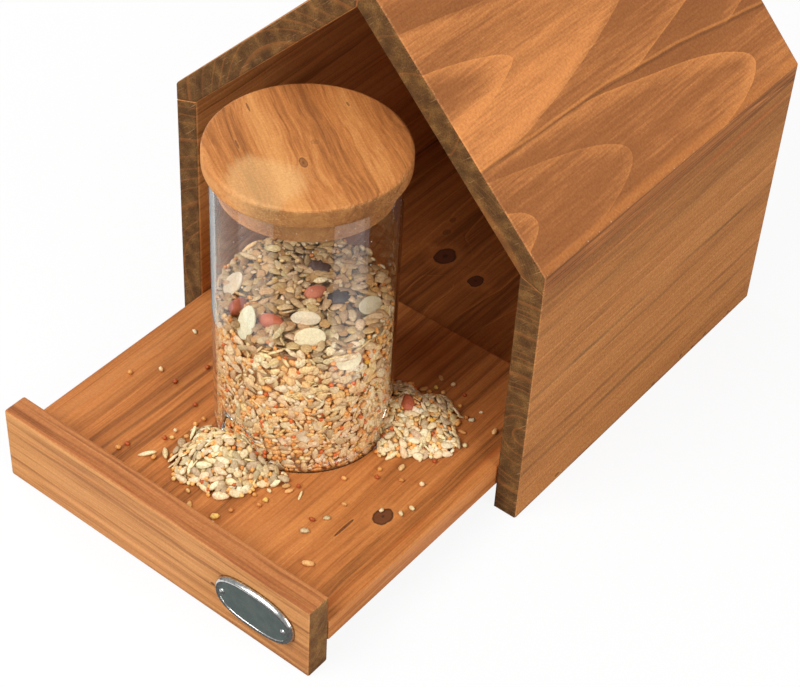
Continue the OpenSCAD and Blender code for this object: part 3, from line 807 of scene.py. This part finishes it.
class Pile:
    """Grains laid one by one. crowd is the share of the touching distance that two grains keep."""

    def __init__(self, crowd):
        self.crowd, self.boxes = crowd, {}
        self.laid = {kind: [] for kind in GRAINS}

    def near(self, point):
        """What was felt before in the boxes round a point: x, y, z and reach, in rows."""
        i, j, k = (point // FEEL_BOX_MM).astype(int)
        found = [self.boxes[key] for a in (-1, 0, 1) for b in (-1, 0, 1) for c in (-1, 0, 1)
                 if (key := (i + a, j + b, k + c)) in self.boxes]
        return np.array(sum(found, [])) if found else None

    def lay(self, kind, spot, outward, lean=0.3, turn=None, level=0.0, scale=1.0, tint=(1.0, 1.0, 1.0)):
        """Lays one grain under the point spot of a surface that faces outward. lean is how far it may tip, and level
        how strongly it keeps to the level line of the surface. scale changes its size, and tint multiplies its colour
        with painted light and shade for the place where it lies."""
        form, low, high, colours = GRAINS[kind]
        size = rng.uniform(low, high) * scale
        side = unit(np.cross((0.0, 0.0, 1.0), outward) if abs(outward[2]) < 0.9 else np.cross((1.0, 0.0, 0.0), outward))
        rise = np.cross(outward, side)
        angle = rng.uniform(-np.pi, np.pi) * (1 - level) if turn is None else math.radians(turn)
        long_way = unit(side * math.cos(angle) + rise * math.sin(angle) + outward * rng.normal(0, lean))
        thick_way = outward + side * rng.normal(0, lean) + rise * rng.normal(0, lean)
        thick_way = unit(thick_way - long_way * thick_way.dot(long_way))
        axes = np.stack([long_way, np.cross(thick_way, long_way), thick_way])
        middle = spot - outward * np.linalg.norm(axes @ outward * size / 2)
        ends = (-0.31, 0.0, 0.31) if size[0] > 1.5 * size[1] else (0.0,)
        points = [middle + long_way * (end * size[0]) for end in ends]
        touch = 0.5 * size[1] if kind in NUTS else 0.25 * (size[1] + size[2])
        for point in points:
            felt = self.near(point)
            if felt is not None:
                gaps = np.linalg.norm(felt[:, :3] - point, axis=1)
                if (gaps < self.crowd * (felt[:, 3] + touch)).any():
                    return
        for point in points:
            self.boxes.setdefault(tuple((point // FEEL_BOX_MM).astype(int)), []).append((*point, touch))
        hue = np.array(colours[rng.integers(len(colours))])[:3] * rng.uniform(0.84, 1.1) * rng.uniform(0.96, 1.04, 3)
        shaded = hue * tint
        self.laid[kind].append((middle, axes * size[:, None], shaded * min(1.0, BRIGHTEST / shaded.max())))

    def piece(self, name, kinds, keep_off, skin):
        """Joins all grains of some kinds into one mesh. keep_off moves a grain back to where there is room. A grain is
        browner towards its tips and its edges, partly its own colour and partly a painted shade that rounds it."""
        points, faces, hues, first = [], [], [], 0
        for kind in kinds:
            (form, form_faces), *_ = GRAINS[kind]
            # painted shade, with some of the grain's own colour: darker and browner towards the tips and the edges
            brown = (np.abs(form[:, 0] * 2) ** 3 * 0.2 + (form[:, 1] * 2) ** 2 * 0.13) * (0.3 if kind in NUTS else 1.0)
            tip_and_edge_shade = 1 - brown[:, None] * (0.7, 1.0, 1.35)
            for middle, axes, hue in self.laid[kind]:
                points.append(keep_off(middle + form @ axes))
                faces += [[first + k for k in face] for face in form_faces]
                hues.append(np.append(tip_and_edge_shade * hue, np.ones((len(form), 1)), axis=1))
                first += len(form)
        made = new_object(name, np.concatenate(points) * MM, faces, skin, smooth=True)
        paint = made.data.attributes.new("grain_colour", "FLOAT_COLOR", "POINT")
        paint.data.foreach_set("color", np.concatenate(hues).ravel())
        fit_seed(made)


def fit_seed(piece):
    fit(piece, "tray", "seed_fill" if piece.name.startswith("silo") else "seed_heaps")


def skin_of(name, contrast, bumps):
    """A grain keeps its own colour, with spots of more or less contrast and small bumps of more or less strength."""
    b = Bench(name)
    own = b.node("Attribute", {"attribute_name": "grain_colour", "attribute_type": "GEOMETRY"})
    mottle = b.noise(b.here(), 1100.0, 3.0)
    shade = mottle.above(0.25, 0.75) * contrast + (1 - contrast / 2)
    bump = b.node("Bump", {}, {"Strength": bumps, "Distance": 0.0004, "Height": mottle})
    spotted = b.mix(1.0, own, b.join(shade, shade * (0.3 + shade * 0.7), shade * shade), "MULTIPLY")
    return b.finish(b.node("BsdfPrincipled", {}, {
        "Base Color": spotted, "Roughness": 0.5, "Specular IOR Level": 0.35, "Normal": bump}))


grain_skin, nut_skin = skin_of("grain_skin", 0.32, 0.3), skin_of("nut_skin", 0.14, 0.1)
print("skins:", grain_skin.name, nut_skin.name)

# %% [markdown]
# ## The fill of the silo
# What shows is a skin: the grains that touch the glass, more in the gaps between them, and the flat top. A dull core
# stands behind, where nothing can be seen. Shaking brings the large pieces up and lets the small ones sink, so the top
# is pale and coarse, with nuts and raisins, and the foot is orange and fine. The grains on top are painted darker, a
# painted shade under the lid, and those behind the glass brighter, a painted light.

# %% Grains behind the glass and on top
fill_low, fill_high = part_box("seed_fill")
fill_r = glass_r - WALL - 0.25
fill_foot, fill_top = fill_low.z / MM, fill_high.z / MM
TOP_RISE = 3.0
fill_rim = fill_top - TOP_RISE
silo_axis = np.array([0.0, silo_y_mm, 0.0])


def ease(low, high, v):
    t = min(max((v - low) / (high - low), 0.0), 1.0)
    return t * t * (3 - 2 * t)


def wall_spot(degrees, z, depth=0.0):
    """A point on the inside of the glass, and the way out there."""
    a = math.radians(degrees)
    outward = np.array([math.cos(a), math.sin(a), 0.0])
    return silo_axis + outward * (fill_r - depth) + (0, 0, z), outward


def top_spot(r, degrees, depth=0.0):
    """A point on the top of the fill, and the way up there."""
    a = math.radians(degrees)
    z = fill_rim + TOP_RISE * (1 - (r / fill_r) ** 2) - depth
    return silo_axis + (math.cos(a) * r, math.sin(a) * r, z), np.array([0.0, 0.0, 1.0])


# painted light and shade: the top is darkened as in the lid's shade, the grains behind the glass lifted, the listed
# pieces darkened a little
TOP_LID_SHADE, WALL_PAINTED_LIGHT, LISTED_PIECE_SHADE = np.array([0.82, 0.75, 0.67]), np.array([1.52, 1.5, 1.5]), (0.94, 0.94, 0.93)
TOP_SCALE, SMALL_SCALE = 1.12, 1.14
# the large pieces that catch the eye: kind, distance from the middle, degrees round it, turn, and tip towards the glass
HAND_LAID = [
    ("half_nut", 31.5, -145, 25, 14), ("half_nut", 34.5, -97, 115, 48), ("half_nut", 33.0, -46, 6, 42),
    ("half_nut", 20.0, -49, 126, 0), ("red_nut", 30.0, -119, 191, 0), ("red_nut", 25.0, -84, 115, 0),
    ("red_nut", 5.6, 1, 166, 0), ("raisin", 15.5, 12, 150, 0), ("raisin", 13.6, 105, 120, 0),
    ("half_nut", 31.0, 20, -28, 34), ("oat", 31.5, -178, 100, 0), ("oat", 31.0, -70, 190, 0),
    ("flake", 28.0, 160, 118, 0), ("flake", 17.0, -122, 150, 0), ("oat", 7.0, 60, 150, 0)]
# how often each kind is tried, and for each layer its depth, its share of the tries, and its painted light, darker for
# the deeper layers
TOP_MIX = [("half_nut", 1), ("flake", 110), ("kernel", 1500), ("oat", 240), ("wheat", 160), ("sliver", 25),
           ("chip", 240), ("maize", 20), ("millet", 80)]
TOP_LAYERS = ((0.0, 1.0, 1.07), (1.6, 0.7, 0.85), (3.2, 0.4, 0.7))
WALL_MIX = [("half_nut", 8), ("flake", 330), ("kernel", 2500), ("oat", 520), ("wheat", 1800), ("sliver", 700),
            ("chip", 3600), ("maize", 220), ("millet", 9000)]
WALL_LAYERS = ((0.0, 1.0, 1.06), (1.3, 0.6, 0.86))


def throws(mix, layers):
    """One grain after the other: its kind, the depth of its layer, and the layer's painted light, darker for deeper
    layers.
    """
    for depth, effort, light in layers:
        for kind, tries in mix:
            for _ in range(int(tries * effort)):
                yield kind, depth, light


silo_pile = Pile(crowd=0.69)
for kind, r, degrees, turn, tip in HAND_LAID:
    spot, up = top_spot(r, degrees, -1.5)
    _, sideways = wall_spot(degrees, 0)
    outward = sideways * math.sin(math.radians(tip)) + up * math.cos(math.radians(tip))
    silo_pile.lay(kind, spot, outward, lean=0.06, turn=turn, scale=TOP_SCALE, tint=LISTED_PIECE_SHADE)
for kind, depth, light in throws(TOP_MIX, TOP_LAYERS):
    spot, outward = top_spot((fill_r - 1.5) * math.sqrt(rng.random()), rng.uniform(-180, 180), depth)
    silo_pile.lay(kind, spot, outward, lean=0.32, scale=TOP_SCALE, tint=TOP_LID_SHADE * light)
for kind, depth, light in throws(WALL_MIX, WALL_LAYERS):
    z = rng.uniform(fill_foot + 0.8, fill_rim)
    h = (z - fill_foot) / (fill_rim - fill_foot)
    chance = 1 - 0.8 * ease(0.15, 0.75, h) if kind in SMALL else 0.26 + 0.74 * ease(0.05, 0.5, h)
    if rng.random() < chance:
        # painted light behind the glass, turning into the top's painted shade near the rim
        tint = (WALL_PAINTED_LIGHT + (TOP_LID_SHADE - WALL_PAINTED_LIGHT) * ease(0.7, 1.2, h)) * light
        silo_pile.lay(kind, *wall_spot(rng.uniform(-180, 180), z, depth), lean=0.25, level=rng.choice([0.0, 0.6]),
                      tint=tint, scale=SMALL_SCALE if kind in SMALL else 1.0)


def inside_glass(points):
    """Moves a grain inwards or up until it clears the glass and the tray."""
    flat = points[:, :2] - silo_axis[:2]
    over = np.linalg.norm(flat, axis=1).max() - fill_r
    if over > 0:
        points = points - np.append(unit(flat.mean(axis=0)) * over, 0)
    return points + (0, 0, max(0.0, fill_foot + 0.05 - points[:, 2].min()))


silo_pile.piece("silo_nuts", NUTS, inside_glass, nut_skin)
silo_pile.piece("silo_kernels", LONG_GRAINS, inside_glass, grain_skin)
silo_pile.piece("silo_millet", SMALL, inside_glass, grain_skin)
print("grains in the silo:", {k: len(v) for k, v in silo_pile.laid.items()})

# %% [markdown]
# ## Heaps at the outlets
# Seed runs out of the three arches in the silo's foot until each heap blocks its own arch. A heap is a low cone with a
# ragged rim, and it needn't lie straight in front of its arch, so each may drift a little to one side. Past the rim
# lie single grains, fewer and fewer with the distance.

# %% Heaps
tray_z = tray_top_mm
HEAP_RIMS, HEAP_DRIFTS = (24.2, 25.5, 25.5), (2.5, 5.0, 0.0)
HEAP_H, HEAP_OUT, SKIN = 14.0, 46.0, 1.6
SILO_CLEAR = glass_r + 0.3
UPWARDS = np.array([0.0, 0.0, 1.0])
heap_ways = [wall_spot(way, 0)[1] for way in OUTLET_WAYS]
heap_middles = [silo_axis + way * HEAP_OUT + np.cross(UPWARDS, way) * drift
                for way, drift in zip(heap_ways, HEAP_DRIFTS)]


def rim_of(k, a):
    """How far a heap reaches in the direction a."""
    ragged = 0.09 * math.sin(2 * a + 1.3 * k) + 0.07 * math.sin(5 * a + 2 * k) + 0.05 * math.sin(9 * a + k)
    return HEAP_RIMS[k] * (1 + ragged)


def heap_height(k, p):
    d = p[:2] - heap_middles[k][:2]
    r = np.linalg.norm(d) / rim_of(k, math.atan2(d[1], d[0]))
    return HEAP_H * max(0.0, 1 - r) ** 0.9 + SKIN * max(0.0, min(1.0, 5 * (1 - r)))


def heap_spot(k, a, share, depth=0.0):
    """A point on a heap, and the way out there."""
    p = heap_middles[k] + np.array([math.cos(a), math.sin(a), 0]) * rim_of(k, a) * share
    step = np.array([0.5, 0.0, 0.0])
    slope = np.array([heap_height(k, p - s) - heap_height(k, p + s) for s in (step, step[[1, 0, 2]])] + [1.0])
    return p + (0, 0, tray_z + max(heap_height(k, p) - depth, 0.0)), unit(slope)


def in_arch(spot):
    """True in front of an outlet or in it, where seed may pass the wall."""
    away = spot[:2] - silo_axis[:2]
    return any(way[:2] @ away > 0 and abs(way[0] * away[1] - way[1] * away[0]) < OUTLET_W / 2 - 2
               for way in heap_ways)


def clear_of_glass(points):
    """Moves a grain outwards or up until it clears the glass and the tray."""
    flat = points[:, :2] - silo_axis[:2]
    under = SILO_CLEAR - np.linalg.norm(flat, axis=1).min()
    if under > 0 and not in_arch(points.mean(axis=0)):
        points = points + np.append(unit(flat.mean(axis=0)) * under, 0)
    return points + (0, 0, max(0.0, tray_z + 0.05 - points[:, 2].min()))


def on_tray(points):
    """The same, and sets the grain down on the tray."""
    points = clear_of_glass(points)
    return points - (0, 0, points[:, 2].min() - tray_z - 0.03)


HEAP_MIX = [("kernel", 900), ("oat", 420), ("flake", 90), ("kernel", 900), ("wheat", 300), ("sliver", 240),
            ("chip", 900), ("maize", 110), ("millet", 2600)]
# painted light: heap grains are lifted paler than the same seed behind the glass, the right heap most, in the shade of
# silo and house; deeper layers are painted darker
HEAP_LAYERS = ((0.0, 1.0, 1.06), (1.5, 0.6, 0.84), (3.0, 0.3, 0.7))
HEAP_PAINTED_LIGHTS = np.outer((0.88, 1.16, 1.0), (1.30, 1.39, 1.45))
HEAP_SCALES, HEAP_SMALL_SCALE = (0.96, 0.88, 0.92), 1.18
heap_pile = Pile(crowd=0.7)
heap_pile.lay("red_nut", *heap_spot(1, -0.4, 0.1, -1.0), lean=0.1, turn=76)
for kind, depth, light in throws(HEAP_MIX, HEAP_LAYERS):
    k = rng.integers(3)
    spot, outward = heap_spot(k, rng.uniform(-np.pi, np.pi), math.sqrt(rng.random()), depth)
    away = np.linalg.norm(spot[:2] - silo_axis[:2])
    if spot[2] > tray_z + 0.4 and (away > SILO_CLEAR + 1 or away > fill_r - 2 and in_arch(spot)):
        scale = HEAP_SMALL_SCALE if kind in SMALL else HEAP_SCALES[k]
        heap_pile.lay(kind, spot, outward, lean=0.26, scale=scale, tint=HEAP_PAINTED_LIGHTS[k] * light)
print("grains in the heaps:", {k: len(v) for k, v in heap_pile.laid.items()})

# %% Loose grains
LOOSE_MIX = [("millet", 80), ("wheat", 16), ("maize", 12), ("chip", 18), ("kernel", 6), ("sliver", 4), ("oat", 3)]
# a few that lie far out: kind, x and y
FAR_OUT = [("maize", 14.5, -202.7), ("millet", -74.4, -162.7), ("millet", -65.1, -152.0), ("millet", -54.9, -153.5),
           ("millet", -43.7, -196.1), ("millet", -45.0, -200.4), ("chip", 48.5, -183.7), ("millet", 46.7, -177.0),
           ("chip", 50.8, -171.9), ("millet", 69.5, -130.2), ("millet", 74.9, -144.1), ("wheat", 61.4, -196.8)]
DROP, FAR_SCALE, MILLET_SCALE, TRAY_EDGE = 3.0, 1.25, 1.2, 4.0
tray_low, tray_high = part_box("tray_board")
loose_pile = Pile(crowd=1.0)
for kind, x, y in FAR_OUT:
    loose_pile.lay(kind, np.array([x, y, tray_z + DROP]), UPWARDS, lean=0.1, scale=FAR_SCALE)
for kind, _, _ in throws(LOOSE_MIX, ((0.0, 1.0, 1.0),)):
    k, a = rng.integers(3), rng.uniform(-np.pi, np.pi)
    p = heap_middles[k] + np.array([math.cos(a), math.sin(a), 0]) * (rim_of(k, a) + 1.0 + rng.exponential(7.0))
    inside = all(low / MM + TRAY_EDGE < v < high / MM - TRAY_EDGE for v, low, high in zip(p[:2], tray_low, tray_high))
    if inside and np.linalg.norm(p[:2] - silo_axis[:2]) > SILO_CLEAR + 4:
        scale = MILLET_SCALE if kind == "millet" else 1.0
        loose_pile.lay(kind, p + (0, 0, tray_z + DROP), UPWARDS, lean=0.1, scale=scale)

heap_pile.piece("heap_kernels", LONG_GRAINS + ("red_nut",), clear_of_glass, grain_skin)
heap_pile.piece("heap_millet", SMALL, clear_of_glass, grain_skin)
loose_pile.piece("loose_grains", [kind for kind, _ in LOOSE_MIX], on_tray, grain_skin)
print("loose grains:", sum(len(v) for v in loose_pile.laid.values()))

# %% [markdown]
# ## The cores
# Behind the skin of grains stands a dull, lumpy body in a warm, pale colour of the mix, lifted as a painted light for
# the light that seed scatters into its gaps. It closes the last gaps, so that no one looks through the fill. Rings of
# points round an axis make it, each ring a little smaller than the skin outside it.

# %% Cores of the fill and the heaps
AROUND, CORE_DEPTH = 48, 2.7
turns = circle(AROUND)
b = Bench("core_seed")
cells = b.node("TexVoronoi", {"feature": "F1"}, {"Vector": b.here(), "Scale": 420.0}, out="Color")
# painted light: the core is warmer and paler than the seed's mean, so the gaps read as lit by light that the grains
# pass on
lit_core_skin = b.finish(b.node("BsdfPrincipled", {}, {
    "Base Color": b.mix(0.25, tone(234, 188, 130), cells, "MULTIPLY"), "Roughness": 0.8}))


def core_piece(name, bodies):
    """One piece of closed bodies. Each is a row of rings of points, foot first."""
    points, faces = [], []
    for rings in bodies:
        first, count = len(points), len(rings)
        points += [point for ring in rings for point in ring]
        foot, top = range(first, first + AROUND), range(len(points) - AROUND, len(points))
        faces += [tuple(reversed(foot)), tuple(top), *ring_faces(range(count), AROUND, first)]
    core = new_object(name, np.array(points) * MM, faces, lit_core_skin)
    fit_seed(core)
    print(name, len(faces), "faces")


core_r = fill_r - CORE_DEPTH
rows = [(core_r + 0.4 * math.sin(1.7 * z), z) for z in np.linspace(fill_foot + 0.3, fill_rim - 5.0, 30)]
rows += [(core_r * f, fill_rim + TOP_RISE * (1 - f * f) - 4.8) for f in (0.8, 0.5, 0.2)]
core_piece("silo_core", [[[silo_axis + (r * math.cos(a), r * math.sin(a), z) for a in turns] for r, z in rows]])


def heap_core(k):
    """The rings of a heap's core. They lie under its skin, and no nearer to the silo than the glass allows."""
    rings = []
    for share in (0.78, 0.6, 0.4, 0.2, 0.03):
        ring = []
        for a in turns:
            spot, _ = heap_spot(k, a, share, 3.0)
            away = spot[:2] - silo_axis[:2]
            nearest = core_r if in_arch(spot) else SILO_CLEAR + 0.4
            spot[:2] = silo_axis[:2] + away * max(1.0, nearest / np.linalg.norm(away))
            ring.append(spot + (0, 0, 0.1))
        rings.append(ring)
    return rings


core_piece("heap_core", [heap_core(k) for k in range(3)])
